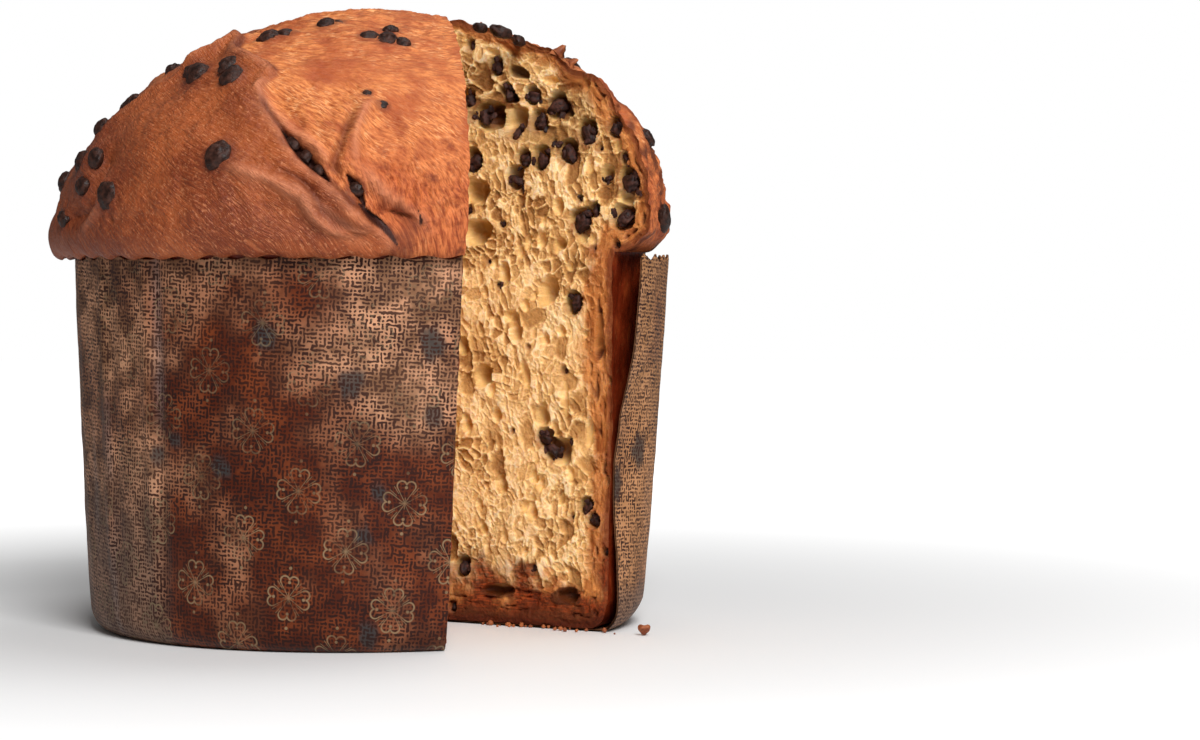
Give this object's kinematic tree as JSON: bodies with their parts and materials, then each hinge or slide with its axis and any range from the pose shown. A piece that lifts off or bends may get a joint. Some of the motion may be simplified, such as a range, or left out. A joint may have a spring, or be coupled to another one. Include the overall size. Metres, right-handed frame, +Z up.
{
  "type": "cut panettone",
  "caption": "Tall domed sweet loaf with chocolate chips, a wedge cut out of it, standing in its own paper baking case with a scalloped rim.",
  "frame": {"origin": "bottom centre of the object's box, on the floor under the middle of the paper case", "axes": "+Z up through the dome; the wedge is cut out between -80 and -30 degrees about Z, measured from +X, so it opens to the front right, with -Y the front"},
  "size_m": [0.1897, 0.1971, 0.1891],
  "materials": {
    "crumb": "open baked crumb, yellow to golden, with bubbles",
    "crust": "baked crust, orange to dark brown, slightly glossy",
    "chocolate": "baked dark chocolate chips",
    "paper": "printed brown baking paper, partly soaked with fat"
  },
  "bodies": {
    "root": {"cake": "crumb", "paper_case": "paper"}
  },
  "joints": []
}
